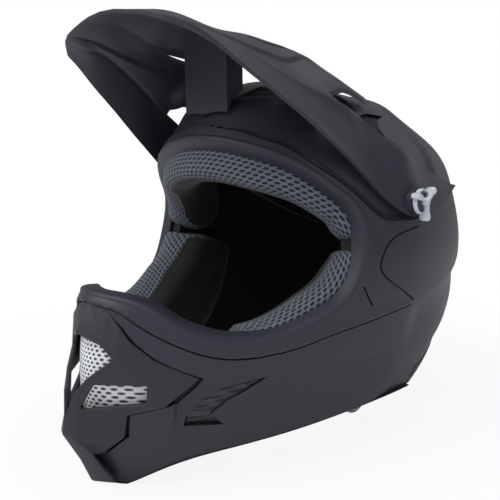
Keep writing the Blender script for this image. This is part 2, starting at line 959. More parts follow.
SIDE_VENT = (
    (-0.384, 0.168), (-0.381, 0.190), (-0.358, 0.236), (-0.334, 0.256), (-0.312, 0.262),
    (-0.262, 0.272), (-0.298, 0.240), (-0.322, 0.222), (-0.345, 0.190), (-0.326, 0.160),
)
CROWN_VENT = (
    (-0.042, 0.892), (0.010, 0.902), (0.064, 0.896), (0.027, 0.882), (0.009, 0.857), (0.011, 0.839),
    (-0.056, 0.866),
)
RIM_GROOVE = (
    (-0.475, 0.458), (-0.464, 0.456), (-0.443, 0.427), (-0.411, 0.385), (-0.371, 0.351),
    (-0.328, 0.332), (-0.280, 0.330), (-0.221, 0.340), (-0.165, 0.359), (-0.099, 0.374),
    (-0.048, 0.385), (0.024, 0.397),
)
PANEL_GROOVE = (
    (0.024, 0.411), (-0.020, 0.452), (-0.061, 0.493), (-0.070, 0.512), (-0.064, 0.545), (-0.048, 0.575),
    (-0.010, 0.598), (0.032, 0.607),
)
ARM_GROOVE = (
    (-0.240, 0.873), (-0.222, 0.872), (-0.216, 0.866), (-0.209, 0.858), (-0.202, 0.846), (-0.183, 0.826),
    (-0.162, 0.788), (-0.131, 0.742), (-0.092, 0.686), (-0.066, 0.648),
    (-0.050, 0.634), (-0.030, 0.630), (0.031, 0.631), (0.060, 0.640),
)
SHORT_SLOT = ((-0.107, 0.474), (-0.100, 0.455), (-0.090, 0.432), (-0.083, 0.419))
ARM_FOLD = ARM_GROOVE[3:]
CHEEK_FOLD = ((-0.372, 0.292), (-0.330, 0.292), (-0.235, 0.300), (-0.120, 0.300), (0.02, 0.290))
REAR_SCOOP = ((0.030, 0.396), (0.10, 0.415), (0.21, 0.445), (0.32, 0.50))
REAR_HEM = ((-0.02, 0.155), (0.043, 0.195), (0.11, 0.215), (0.18, 0.237), (0.30, 0.30))


@dataclass(frozen=True)
class Fold:
    """A recess of the shell to one side of a side view line.

    The ramps are pairs: zero at the first value and one at the second.
    """

    line: Sequence[Point]
    depth: float
    ramp: tuple
    left: bool = False
    reach: Optional[tuple] = None
    fade: Optional[tuple] = None
    rising: bool = True
    span: tuple = (AHEAD, BEHIND)

    def depth_at(self, y: Array, z: Array) -> Array:
        """How deep the recess is at side view places."""
        gap, side = side_distance(in_side(self.line), y, z)
        depth = self.depth * smooth_step(*self.ramp, side if self.left else -side)
        if self.reach:
            depth = depth * (1 - smooth_step(*self.reach, gap))
        if self.fade:
            fade = smooth_step(at_y(self.fade[0]), at_y(self.fade[1]), y)
            depth = depth * (fade if self.rising else 1 - fade)
        return depth * (y > at_y(self.span[0])) * (y < at_y(self.span[1]))


@dataclass
class OuterShell:
    """The lacquered shell with its vents, grooves and folds, and the rear skirt."""

    form: ShellForm
    finishes: Finishes
    columns: int = 480
    rows: int = 190
    inner_rows: int = 90
    crown_rows: int = 8
    crown_rise: float = 1.4
    groove_width: float = 1.3
    groove_depth: float = 1.8
    groove_overrun: float = 1.5
    groove_start: float = 1.2
    seat_depth: float = 2.7
    seat_heights: tuple = (0.66, 0.70)
    seat_front: tuple = (-0.04, 0.0)
    seat_rear: tuple = (0.10, 0.13)
    dimple_depth: float = 1.1
    dimple_place: Point = (-27.0, 158.0)
    dimple_half: Point = (7.0, 10.0)
    dimple_ramp: tuple = (0.2, 1.3)
    rim_rise: float = 0.8
    rim_ramp: tuple = (-8, -1)
    skirt_gap: float = 0.5
    base_gap: float = 1.0
    skirt_out: float = 0.4
    arm_fold: Fold = Fold(ARM_FOLD, 2.2, (0.0, 3.0), True, (30, 55), span=(AHEAD, 0.05))
    folds: tuple = (
        Fold(CHEEK_FOLD, 2.4, (0.0, 9.0), reach=(22, 48), fade=(-0.12, 0.02), rising=False, span=(-0.40, BEHIND)),
        Fold(REAR_SCOOP, 3.2, (0.0, 7.0), reach=(14, 40), fade=(0.01, 0.08)),
        Fold(REAR_HEM, 2.6, (-1.0, 5.0), fade=(-0.04, 0.05)),
    )
    back_vents: tuple = (
        ((0.13, 0.60), (0.36, 0.64), (0.44, 0.72), (0.20, 0.70)),
        ((0.16, 0.36), (0.40, 0.40), (0.46, 0.47), (0.22, 0.45)),
    )
    brow_vent: tuple = ((0.14, -0.165), (0.32, -0.140), (0.34, -0.095), (0.17, -0.115))

    def build(self) -> None:
        """Makes and dresses the shell's pieces."""
        shell = self._solid("helmet_shell", 0.0, SHELL_WALL)
        skirt = self._solid("rear_skirt_moulding", -self.skirt_out, SHELL_WALL - self.skirt_out)
        cutters = [
            self._port_cutter(),
            self._base_cutter(self.base_gap),
            side_prism("skirt_cut", in_side(SKIRT_EDGE)),
            side_prism("side_vent_cut", in_side(SIDE_VENT), at_x(0.30)),
            side_prism("crown_vent_cut", in_side(CROWN_VENT), at_x(0.55)),
            *self._vents(),
            self._window(),
            *self._grooves(),
        ]
        combine(shell, cutters)
        shade(shell)
        dress(shell, self.finishes.shell, Body.HELMET, Slot.SHELL, "outer_shell")
        keep = side_prism("skirt_keep", in_side(SKIRT_EDGE) + (self.skirt_gap, -self.skirt_gap))
        combine(skirt, [keep], "INTERSECT")
        combine(skirt, [self._base_cutter(0.0)])
        shade(skirt)
        dress(skirt, self.finishes.skirt, Body.HELMET, Slot.SKIRT, "rear_skirt")

    def _levels(self, rows: int) -> Array:
        """Levels spaced evenly along the side's outline."""
        dense = np.linspace(self.form.levels[0], self.form.levels[-1], 2000)
        outline = np.stack([at_x(self.form.width(dense)), at_z(dense)], axis=1)
        run = run_along(outline)
        return np.interp(np.linspace(0, run[-1], rows), run, dense)

    def _skin(self, rows: int, columns: int, inset: float, relief: bool) -> Array:
        """One grid of surface points, closed over the crown by a few shrinking rows."""
        level, turn = np.meshgrid(self._levels(rows), np.arange(columns) * 2 * math.pi / columns, indexing="ij")
        skin = self.form.points(level, turn, inset)
        if relief:
            skin = self._relieved(skin)
        top = skin[-1]
        middle = top.mean(axis=0)
        cap = []
        for step in range(1, self.crown_rows):
            share = 1 - step / self.crown_rows
            row = middle + (top - middle) * share
            row[:, 2] += self.crown_rise * (1 - share**2)
            cap.append(row)
        return np.concatenate([skin, np.array(cap)])

    def _relieved(self, skin: Array) -> Array:
        """Moves the points along their normals by the folds and recesses of the moulding."""
        flat = skin.reshape(-1, 3)
        normal = self.form.normals(flat)
        return (flat + normal * self._relief(flat)[:, None]).reshape(skin.shape)

    def _relief(self, p: Array) -> Array:
        """How far the moulding stands out at each point."""
        y, z = p[:, 1], p[:, 2]
        rise = np.zeros(len(p)) - self.arm_fold.depth_at(y, z)
        above = smooth_step(*map(at_z, self.seat_heights), z)
        ahead, behind = (smooth_step(*map(at_y, ends), y) for ends in (self.seat_front, self.seat_rear))
        rise = np.minimum(rise, -self.seat_depth * (above * (1 - behind)) * ahead)
        _, side = side_distance(in_side(RIM_GROOVE), y, z)
        rise += self.rim_rise * smooth_step(*self.rim_ramp, -np.abs(side)) * (side > 0)
        for fold in self.folds:
            rise -= fold.depth_at(y, z)
        (middle_y, middle_z), (half_y, half_z) = self.dimple_place, self.dimple_half
        dimple = np.hypot((y - middle_y) / half_y, (z - middle_z) / half_z)
        return rise - self.dimple_depth * (1 - smooth_step(*self.dimple_ramp, dimple))

    def _solid(self, name: str, outer: float, inner: float) -> bpy.types.Object:
        """A closed wall between two insets of the surface."""
        skin = self._skin(self.rows, self.columns, outer, True)
        lining = self._skin(self.inner_rows, self.columns, inner, False)
        rows, columns = skin.shape[:2]
        inner_rows = lining.shape[0]
        tops = [skin[-1].mean(axis=0), lining[-1].mean(axis=0)]
        points = np.vstack([skin.reshape(-1, 3), lining.reshape(-1, 3), tops])
        base = rows * columns
        faces = grid_faces(rows, columns, True, flip=True) + grid_faces(inner_rows, columns, True, base)
        crown, under = len(points) - 2, len(points) - 1
        for c in range(columns):
            d = (c + 1) % columns
            last, low = (rows - 1) * columns, base + (inner_rows - 1) * columns
            faces.append([last + d, last + c, crown])
            faces.append([low + c, low + d, under])
            faces.append([c, d, base + d, base + c])
        made = new_object(name, points, faces)
        fix_normals(made)
        return made

    def _port_cutter(self) -> bpy.types.Object:
        """The space of the face port."""
        line = smooth_line(in_side(PORT_EDGE), 90)
        ahead = at_y(AHEAD)
        outline = np.vstack([line, [(ahead, line[-1][1]), (ahead, line[0][1])]])
        return side_prism("port_cut", outline)

    def _base_cutter(self, rise: float) -> bpy.types.Object:
        """Everything under the base edge."""
        line = smooth_line(in_side(BASE_EDGE), 90)
        line[:, 1] = np.maximum(line[:, 1], 0.0) + rise
        outline = np.vstack([[(at_y(AHEAD), line[0][1])], line, [(at_y(BEHIND), line[-1][1])],
                             [(at_y(BEHIND), at_z(UNDER)), (at_y(AHEAD), at_z(UNDER))]])
        return side_prism("base_cut", outline)

    def _vents(self) -> list[bpy.types.Object]:
        """The air outlets at the back and the intakes under the visor."""
        tools = []
        for shares in self.back_vents:
            pairs = [front_pair([(sign * at_x(x), at_z(z)) for x, z in shares], 0.15, BEHIND) for sign in (1, -1)]
            tools.append(prisms("back_vent_cut", pairs))
        outline = [(at_x(x), at_y(y)) for x, y in self.brow_vent]
        tools.append(plan_prism("brow_vent_cut", outline, SHELL_HEIGHT / 2, SHELL_HEIGHT + OVERRUN))
        return tools

    def _window(self) -> bpy.types.Object:
        """The opening in the chin bar behind the muzzle guard."""
        outline = [(x + (0.8 if x else 0), z) for x, y, z in MuzzleGuard.outline()]
        mirrored = [(-x, z) for x, z in reversed(outline) if x > 0]
        whole = outline + [(0, outline[-1][1])] + mirrored
        return prisms("window_cut", [front_pair(whole, AHEAD, -0.30)])

    def _grooves(self) -> list[bpy.types.Object]:
        """Thin cutters along the parting lines."""
        lines = [smooth_line(in_side(shares), 70) for shares in (RIM_GROOVE, PANEL_GROOVE, ARM_GROOVE, SHORT_SLOT)]
        return [self._groove(line, side) for line in lines for side in Side]

    def _groove(self, line: Array, side: Side) -> bpy.types.Object:
        """One thin cutter that follows the surface."""
        path = self.form.on_side(line, side)
        path = path[np.abs(path[:, 0]) > self.groove_start]
        normal = self.form.normals(path)
        path = path + normal * self._relief(path)[:, None]
        across = np.cross(unit(np.gradient(path, axis=0)), normal)
        half, top, deep = self.groove_width / 2, self.groove_overrun, -self.groove_depth
        section = ((-half, top), (half, top), (half, deep), (-half, deep))
        return tube("groove_cut", np.stack([path + across * a + normal * n for a, n in section], axis=1))


@dataclass
class MuzzleGuard:
    """The faceted guard in front of the chin bar, a folded plate with openings."""

    finishes: Finishes
    wall: float = 3.0
    edge_round: float = 0.9

    corners = {
        "A0": (0.0, -0.469, 0.466), "A1": (0.142, -0.464, 0.450), "A2": (0.225, -0.461, 0.416),
        "A3": (0.275, -0.453, 0.385), "A4": (0.367, -0.427, 0.340), "A5": (0.500, -0.371, 0.290),
        "H0": (0.0, -0.499, 0.397), "H1": (0.142, -0.479, 0.370), "O1": (0.200, -0.472, 0.340),
        "O2": (0.104, -0.501, 0.298), "O3": (0.050, -0.517, 0.260), "T0": (0.0, -0.528, 0.202),
        "P0": (0.133, -0.496, 0.282), "P1": (0.333, -0.436, 0.279), "Q1": (0.067, -0.512, 0.221),
        "S1": (0.333, -0.440, 0.237), "S5": (0.390, -0.416, 0.226), "S2": (0.250, -0.459, 0.206),
        "S3": (0.225, -0.461, 0.149), "S4": (0.108, -0.480, 0.099), "CR": (0.0, -0.533, 0.160),
        "K1": (0.075, -0.523, 0.153), "K2": (0.108, -0.499, 0.107), "K3": (0.117, -0.480, 0.053),
        "K4": (0.117, -0.459, 0.011), "C1": (0.0, -0.504, 0.080), "C2": (0.0, -0.485, 0.011),
    }
    faces = (
        "A0 A1 H1", "A0 H1 H0", "A1 A2 O1", "A1 O1 H1", "A2 A3 O1", "A3 A4 O1", "O1 A4 P1",
        "O1 P1 P0", "O1 P0 O2", "O2 P0 Q1", "O2 Q1 O3", "O3 Q1 T0", "A4 A5 P1", "P1 A5 S1",
        "A5 S5 S1", "S1 S5 S2", "Q1 S1 S2", "Q1 S2 K1", "S2 S3 K1", "S3 S4 K1", "T0 Q1 K1",
        "T0 K1 CR", "CR K1 C1", "K1 K2 C1", "K1 S4 K2", "C1 K2 K3", "C1 K3 C2", "K3 K4 C2",
    )
    rim = ("A0", "A1", "A2", "A3", "A4", "A5", "S5", "S2", "S3", "S4")

    @classmethod
    def corner(cls, name: str, side: int = 1) -> tuple[float, float, float]:
        """One corner in millimetres."""
        x, y, z = cls.corners[name]
        return side * at_x(x), at_y(y), at_z(z)

    @classmethod
    def outline(cls) -> list[tuple[float, float, float]]:
        """The guard's edge on the shell, from top to bottom."""
        return [cls.corner(name) for name in cls.rim]

    def build(self) -> None:
        """Makes and dresses the guard."""
        points: list = []
        index: dict = {}
        faces = []
        for side in (1, -1):
            for text in self.faces:
                face = []
                for name in text.split():
                    key = (name, side if self.corners[name][0] else 0)
                    if key not in index:
                        index[key] = len(points)
                        points.append(self.corner(name, side))
                    face.append(index[key])
                faces.append(face if side < 0 else face[::-1])
        guard = new_object("muzzle_guard_plate", np.array(points), faces)
        fix_normals(guard)
        if guard.data.polygons[0].normal.y > 0:
            guard.data.flip_normals()
        solid = guard.modifiers.new("wall", "SOLIDIFY")
        solid.thickness = self.wall * MM
        solid.offset = -1
        round_edges(guard, self.edge_round, 3, 8)
        shade(guard, 25)
        dress(guard, self.finishes.guard, Body.HELMET, Slot.GUARD, "muzzle_guard")


@dataclass
class PortRing:
    """Frames along the face port's edge: place, direction, outward normal and the way into the opening."""

    form: ShellForm
    count: int = 260
    dense: int = 1200
    centre: Point = (-0.25, 0.60)

    def __post_init__(self) -> None:
        """Works out the closed edge line, from the chin's middle up the left and down the right."""
        line = smooth_line(in_side(PORT_EDGE), self.dense)
        x = self.form.half_width_at(line[:, 0], line[:, 1])
        keep = x > 0
        left = np.stack([x, line[:, 0], line[:, 1]], axis=1)[keep]
        right = left[::-1] * (-1, 1, 1)
        loop = np.vstack([left, right, left[:1]])
        self.place = even_line(loop, self.count, True)
        self.along = unit(np.roll(self.place, -1, axis=0) - np.roll(self.place, 1, axis=0))
        self.out = self._soft(self.form.normals(self.place))
        self.into = np.cross(self.along, self.out)
        centre = np.array([0, at_y(self.centre[0]), at_z(self.centre[1])])
        wrong = np.sum(self.into * (centre - self.place), axis=1) < 0
        self.into[wrong] *= -1
        self.into = unit(self.into)

    @staticmethod
    def _soft(vectors: Array, passes: int = 6) -> Array:
        """Vectors averaged with their neighbours."""
        for _ in range(passes):
            vectors = unit(vectors + np.roll(vectors, 1, axis=0) + np.roll(vectors, -1, axis=0))
        return vectors

    def rings(self, section: Array, picks: Optional[Array] = None) -> Array:
        """Places a section at each frame.

        Args:
            section: pairs of way into the opening and way out of the surface, one list or one per frame.
            picks: the frames to use, or all.

        Returns:
            Rings of points.
        """
        picks = np.arange(self.count) if picks is None else picks
        section = np.broadcast_to(section, (len(picks),) + section.shape[-2:])
        place, into, out = self.place[picks], self.into[picks], self.out[picks]
        return place[:, None] + into[:, None] * section[..., :1] + out[:, None] * section[..., 1:]


@dataclass
class PortLip:
    """The rounded edge of the face port, which turns in towards the padding."""

    ring: PortRing
    finishes: Finishes
    profile: tuple = (
        (-3.0, -0.5), (-1.6, 0.3), (0.0, 0.5), (1.4, -0.1), (2.8, -1.8), (4.2, -4.4), (5.2, -7.4),
        (5.6, -10.6), (4.6, -11.4), (3.6, -8.6), (2.2, -6.2), (-0.4, -4.9), (-2.4, -4.5),
    )

    def build(self) -> None:
        """Makes and dresses the lip."""
        section = smooth_line(np.array(self.profile), 36, True)
        lip = tube("port_lip", self.ring.rings(section), True)
        shade(lip, 60)
        dress(lip, self.finishes.lip, Body.HELMET, Slot.TRIM, "port_trim")


@dataclass
class RimPad:
    """A soft pad along part of the face port: a rolled mesh front and a lined back."""

    ring: PortRing
    finishes: Finishes
    name: str
    node: str
    start: float
    end: float
    reach: tuple
    back: float
    thick: float
    sides: int = 48
    steps: int = 150
    end_round: float = 0.05
    band: float = 24.0
    turn_in: float = 0.95
    fill: float = 0.8
    lining_start: float = 2000.0
    lip_clear: float = 4.6
    least_full: float = 0.02

    def build(self) -> None:
        """Makes and dresses the pad."""
        shares = np.linspace(self.start, self.end, self.steps)
        picks = (np.round(shares * self.ring.count).astype(int)) % self.ring.count
        picks = picks[np.concatenate([[True], np.diff(picks) != 0])]
        t = np.linspace(0, 1, len(picks))
        reach = np.interp(t, np.linspace(0, 1, len(self.reach)), self.reach)
        near_end = np.minimum(t, 1 - t) / self.end_round
        full = np.sqrt(np.clip(1 - (1 - np.clip(near_end, 0, 1)) ** 2, self.least_full, 1))
        rings, runs = [], []
        for frame, wide, fill in zip(picks, reach, full):
            section = self._section(wide, fill)
            rings.append(self.ring.rings(section, np.array([frame]))[0])
            runs.append(run_along(np.vstack([section, section[:1]])))
        rings = np.array(rings)
        pad = tube(self.name, rings)
        self._lay_uv(pad, rings, np.array(runs))
        shade(pad, 70)
        dress(pad, self.finishes.pad, Body.HELMET, Slot.PAD, self.node)

    def _section(self, wide: float, fill: float) -> Array:
        """One closed section, drawn in at the pad's ends."""
        deep, back = self.thick, self.back
        front = self.lip_clear + wide
        outline = np.array([
            (4.4, -8.2), (5.2 + wide * 0.45, -8.4), (front, -13.0), (front + 1.0, -20.0),
            (front - 2.0, -29.0), (front - 9.0, -deep + 1.0), (-back * 0.45, -deep - 2.0),
            (-back * 0.9, -deep + 1.0), (-back, -deep + 7.0), (-back * 0.85, -25.5), (-back * 0.4, -24.5),
            (1.0, -22.0), (5.6, -15.5),
        ])
        middle = outline.mean(axis=0)
        return middle + (smooth_line(outline, self.sides, True) - middle) * (fill, 0.25 + 0.75 * fill)

    def _lay_uv(self, pad: bpy.types.Object, rings: Array, runs: Array) -> None:
        """Gives the pad metres along and across, with the lined back past one metre."""
        sides = rings.shape[1]
        along = run_along(rings[:, self.sides // 8])
        layer = pad.data.uv_layers.new(name="UVMap")
        for polygon in pad.data.polygons:
            places = [divmod(vertex, sides) for vertex in polygon.vertices]
            if max(place for _, place in places) - min(place for _, place in places) > sides / 2:
                places = [(frame, place or sides) for frame, place in places]
            past = min(runs[frame, place] for frame, place in places) > self.band
            before = max(place for _, place in places) < sides * self.turn_in
            lined = self.lining_start if past and before else 0.0
            for corner, (frame, place) in zip(polygon.loop_indices, places):
                layer.data[corner].uv = (along[frame] * MM, (runs[frame, place] + lined) * MM)


@dataclass
class Visor:
    """The long visor: an arched plate with raised channels, slots, a centre web and two side arms with bosses."""

    form: ShellForm
    finishes: Finishes
    rows: int = 210
    columns: int = 300
    wall: float = 2.2
    tongue: float = 0.69
    boss: tuple = (116.4, 122.2)
    boss_radius: float = 9.5
    hole_radius: float = 3.3
    hole_overrun: float = 6.0
    web_half: float = 22.0
    web_gap: float = 3.0
    web_front: tuple = (-80.6, -76.9)
    web_back: tuple = (-65.6, -61.9)
    channel_rise: float = 2.2
    channel_edge: float = 1.5
    crease_rise: float = 0.7
    crease_width: float = 2.2
    relief_front: tuple = (-157, -120)
    relief_back: tuple = (-40, -10)
    channel_inner: tuple = ((-158, -122, -97, -45), (10, 25, 31, 34))
    channel_outer: tuple = ((-158, -124, -98, -54), (42, 48, 53, 56))
    crease: tuple = ((-158, -130, -120, -97, -74, -52, -37, 20), (50, 54, 56, 65, 74, 86.5, 93.5, 102))
    rear_edge: tuple = (
        (0.0, -0.100), (0.20, -0.098), (0.36, -0.085), (0.45, -0.045), (0.52, -0.005), (0.60, 0.018),
        (0.66, 0.012), (0.69, -0.015), (0.69, BEHIND), (0.0, BEHIND),
    )
    nose_edge: tuple = (
        (0.0, -0.4205), (0.19, -0.4185), (0.285, -0.416), (0.381, -0.413), (0.447, -0.406),
        (0.497, -0.396), (0.549, -0.385), (0.60, -0.36), (0.60, AHEAD), (0.0, AHEAD),
    )
    slot: tuple = ((0.345, -0.205), (0.372, -0.205), (0.395, -0.120), (0.352, -0.112))
    arm_top: tuple = (
        (-0.120, 1.30), (-0.120, 0.925), (-0.080, 0.895), (-0.035, 0.836), (0.064, 0.760),
        (0.150, 0.710), (0.40, 0.640), (0.40, 1.30),
    )
    sections: tuple = (
        (-158, (0, 294.5), (14, 293.8), (34, 290.3), (46, 287.7), (53.6, 285.9), (62, 283.5)),
        (-143, (0, 296.5), (24, 293.5), (45, 287.5), (50, 284.5), (60, 282), (67.5, 279.5)),
        (-120, (0, 297), (24, 293.6), (45, 283.5), (55.9, 279.8), (68, 270), (77.8, 263)),
        (-97, (0, 295), (30, 287), (45, 281), (64.8, 270), (77, 256), (87.1, 245.5)),
        (-74, (0, 292), (30, 287), (45, 280), (60, 267), (74.1, 257.3), (87, 239), (96.2, 227.5)),
        (-52, (0, 288.5), (30, 285), (45, 278), (66, 261), (86.5, 245.6), (96, 226), (102.8, 209)),
        (-37, (0, 286), (30, 283), (45, 277), (60, 270), (80, 254), (93.5, 236.4), (101, 215), (106.7, 195.5)),
        (-26, (0, 283), (30, 281), (45, 275.5), (60, 267.5), (75, 258.5), (88, 246), (97, 229), (105, 209),
         (111, 184)),
        (-4, (0, 277), (30, 275), (45, 270), (60, 261), (75, 251), (90, 238), (104, 224), (113, 210),
         (118, 190), (120.2, 168)),
        (20, (0, 266), (30, 264), (45, 260), (60, 253), (75, 244), (90, 233), (105, 214), (112.5, 199),
         (118, 186), (121.8, 168)),
        (42, (0, 262), (30, 260), (45, 256), (60, 249), (75, 240), (90, 229), (104, 212), (112, 198),
         (117, 187), (120.2, 173.5)),
        (64.5, (0, 258), (30, 256), (45, 252), (60, 245), (75, 236), (90, 225), (102, 210), (109, 198),
         (114, 190), (117, 184)),
    )

    def build(self) -> None:
        """Makes and dresses the visor."""
        visor = self._arch()
        combine(visor, self._cutters())
        bosses = [disc("visor_boss", side, self.boss_radius, self.boss) for side in Side]
        combine(visor, [self._web()] + bosses, "UNION")
        hole = self.boss[0] - self.hole_overrun, self.boss[1] + self.hole_overrun
        combine(visor, [disc("visor_hole", side, self.hole_radius, hole) for side in Side])
        shade(visor, 28)
        dress(visor, self.finishes.visor, Body.VISOR, Slot.VISOR, "visor")

    def _arch(self) -> bpy.types.Object:
        """The closed arched plate, joined smoothly through the table of half sections."""
        share = np.linspace(0, 1, self.columns // 2)
        rows = np.array([self._half(section[1:], share) for section in self.sections])
        places = [section[0] for section in self.sections]
        y = np.linspace(places[0], places[-1], self.rows)
        x, z = (self._through(places, rows[:, :, axis], y) for axis in (0, 1))
        x, z = np.hstack([-x[:, :0:-1], x]), np.hstack([z[:, :0:-1], z])
        top = np.stack([x, y[:, None] + 0 * x, z], axis=-1)
        normal = unit(np.cross(np.gradient(top, axis=1), np.gradient(top, axis=0)))
        normal *= np.sign(normal[..., 2:] + 1e-9)
        lift = self._relief(x, top[..., 1])[..., None]
        return self._closed(top + normal * lift, top + normal * (lift - self.wall))

    def _web(self) -> bpy.types.Object:
        """The moulded web between the visor's underside and the forehead."""
        x = np.linspace(-self.web_half, self.web_half, 23)
        front = np.interp(np.abs(x), (0, self.web_half), self.web_front)
        back = np.interp(np.abs(x), (0, self.web_half), self.web_back)
        rings = []
        for y in np.linspace(0, 1, 9):
            place = front + (back - front) * y
            top = np.array([self._height(a, b) for a, b in zip(x, place)]) - self.wall / 2
            low = self.form.height_at(x, place) + self.web_gap
            upper = np.stack([x, place, top], axis=1)
            lower = np.stack([x, place, low], axis=1)[::-1]
            rings.append(np.vstack([upper, lower]))
        return tube("visor_web", np.array(rings))

    def _height(self, x: float, y: float) -> float:
        """The visor's height at a plan place, straight through the table."""
        heights = [np.interp(abs(x), *zip(*section[1:])) for section in self.sections]
        return float(np.interp(y, [section[0] for section in self.sections], heights))

    @staticmethod
    def _half(points: Sequence[Point], share: Array) -> Array:
        """One half section at even shares of its length, softened at the joints of the table."""
        points = np.array(points, float)
        run = run_along(points)
        dense = np.linspace(0, run[-1], DENSE)
        line = np.stack([np.interp(dense, run, points[:, i]) for i in (0, 1)], axis=1)
        mirrored = np.vstack([line[:0:-1] * (-1, 1), line])
        kernel = np.hanning(SOFTENING)
        kernel /= kernel.sum()
        margin = len(kernel) // 2
        ends = np.pad(mirrored, ((margin, margin), (0, 0)), mode="edge")
        soft = np.stack([np.convolve(ends[:, i], kernel, "valid") for i in (0, 1)], axis=1)[len(line) - 1 :]
        soft[0, 0] = 0
        soft[-1] = points[-1]
        return np.stack([np.interp(share * run[-1], dense, soft[:, i]) for i in (0, 1)], axis=1)

    @staticmethod
    def _through(places: Sequence[float], values: Array, at: Array) -> Array:
        """Each column's smooth curve through the sections."""
        return np.stack([SmoothTable(places, column)(at) for column in values.T], axis=1)

    def _relief(self, x: Array, y: Array) -> Array:
        """How far the visor's mouldings stand up."""
        wide, edge = np.abs(x), self.channel_edge
        inner, outer = np.interp(y, *self.channel_inner), np.interp(y, *self.channel_outer)
        channel = smooth_step(-edge, edge, wide - inner) * (1 - smooth_step(-edge, edge, wide - outer))
        front, back = smooth_step(*self.relief_front, y), 1 - smooth_step(*self.relief_back, y)
        ridge = np.exp(-(((wide - np.interp(y, *self.crease)) / self.crease_width) ** 2))
        return self.channel_rise * channel * front * back + self.crease_rise * ridge * front * back

    def _closed(self, top: Array, under: Array) -> bpy.types.Object:
        """A closed plate between two grids of as many points."""
        rows, columns = top.shape[:2]
        points = np.vstack([top.reshape(-1, 3), under.reshape(-1, 3)])
        base = rows * columns
        faces = grid_faces(rows, columns, False) + grid_faces(rows, columns, False, base, True)
        sides = [(r * columns + c, columns) for r in range(rows - 1) for c in (0, columns - 1)]
        ends = [(r * columns + c, 1) for c in range(columns - 1) for r in (0, rows - 1)]
        faces += [[a, a + step, base + a + step, base + a] for a, step in sides + ends]
        made = new_object("visor_peak", points, faces)
        fix_normals(made)
        return made

    def _cutters(self) -> list[bpy.types.Object]:
        """The visor's front and rear outline, its slots and the top edge of its arms."""
        tools = []
        for name, shares in (("rear_cut", self.rear_edge), ("nose_cut", self.nose_edge), ("slot_cut", self.slot)):
            for sign in (1, -1):
                outline = [(sign * (at_x(x) or -0.5), at_y(y)) for x, y in shares]
                pair = [[(x, y, z) for x, y in outline] for z in (SHELL_HEIGHT / 2, SHELL_HEIGHT * 2)]
                tools.append(prisms(name, [pair]))
        return tools + [side_prism("arm_cut", in_side(self.arm_top), at_x(self.tongue))]


@dataclass
class ThumbScrew:
    """A moulded thumb screw: a rimmed disc, three prongs and a small hub."""

    finishes: Finishes
    side: Side
    seat: float = at_x(1.018) + 0.3
    disc: float = 8.6
    prong: float = 12.9
    thick: float = 2.6
    height: float = 7.6
    lean: float = 38.0
    prongs: int = 3
    turned_sides: int = 40
    prong_sides: int = 12
    squareness: float = 0.6

    def build(self) -> None:
        """Makes and dresses the screw."""
        work = bmesh.new()
        disc, thick, height = self.disc, self.thick, self.height
        self._lathe(work, (
            (3.0, -20.0), (3.0, 0.0), (disc - 0.8, 0.0), (disc, 0.8), (disc, thick + 0.2),
            (disc - 0.5, thick + 0.8), (disc - 1.3, thick + 0.7), (disc - 1.9, thick - 0.8),
            (3.0, thick - 0.8), (2.4, height - 0.6), (1.8, height), (0.4, height),
        ))
        for index in range(self.prongs):
            self._prong(work, math.radians(self.lean + 360 / self.prongs * index))
        name = f"thumb_screw_{self.side.name.lower()}"
        mesh = bpy.data.meshes.new(name)
        work.to_mesh(mesh)
        work.free()
        screw = bpy.data.objects.new(name, mesh)
        bpy.context.collection.objects.link(screw)
        fix_normals(screw)
        shade(screw, 40)
        body = Body.SCREW_LEFT if self.side is Side.LEFT else Body.SCREW_RIGHT
        dress(screw, self.finishes.screw, body, Slot.SCREW, f"visor_screw_{self.side.name.lower()}")

    def _place(self, out: float, y: float, z: float) -> Vector:
        """A point of the screw in the frame's metres."""
        point = (self.side.value * (self.seat + out), PIVOT[0] + y, PIVOT[1] + z)
        return Vector(to_metres(np.array([point]))[0])

    def _lathe(self, work: bmesh.types.BMesh, profile: Sequence[Point]) -> None:
        """A closed turned form from radius and height pairs."""
        turns = [2 * math.pi * i / self.turned_sides for i in range(self.turned_sides)]
        rings = [[(out, radius * math.cos(t), radius * math.sin(t)) for t in turns] for radius, out in profile]
        self._skin(work, rings)

    def _prong(self, work: bmesh.types.BMesh, turn: float) -> None:
        """One rounded prong, from the hub out past the disc."""
        across = Vector((-math.sin(turn), math.cos(turn)))
        ahead = Vector((math.cos(turn), math.sin(turn)))
        turns = [2 * math.pi * i / self.prong_sides for i in range(self.prong_sides)]
        rings = []
        for reach, half, low, high in ((0.4, 0.9, 1.0, 7.9), (4.0, 1.0, 1.0, 7.7), (7.6, 1.3, 0.9, 7.6),
                                       (9.4, 2.1, 0.6, 7.8), (11.8, 2.3, 0.6, 7.7), (self.prong, 1.7, 1.2, 7.0)):
            ring = []
            for t in turns:
                flat = ahead * reach + across * self._squared(math.cos(t)) * half
                out = (low + high) / 2 + self._squared(math.sin(t)) * (high - low) / 2
                ring.append((out, flat.x, flat.y))
            rings.append(ring)
        self._skin(work, rings)

    def _squared(self, share: float) -> float:
        """A share of a round, pushed out towards a square."""
        return math.copysign(abs(share) ** self.squareness, share)

    def _skin(self, work: bmesh.types.BMesh, rings: Sequence[Sequence[Point]]) -> None:
        """Adds a closed form through rings of places on the screw."""
        made = [[work.verts.new(self._place(*place)) for place in ring] for ring in rings]
        for low, high in zip(made[:-1], made[1:]):
            for i in range(len(low)):
                j = (i + 1) % len(low)
                work.faces.new((low[i], low[j], high[j], high[i]))
        work.faces.new(made[0])
        work.faces.new(made[-1])


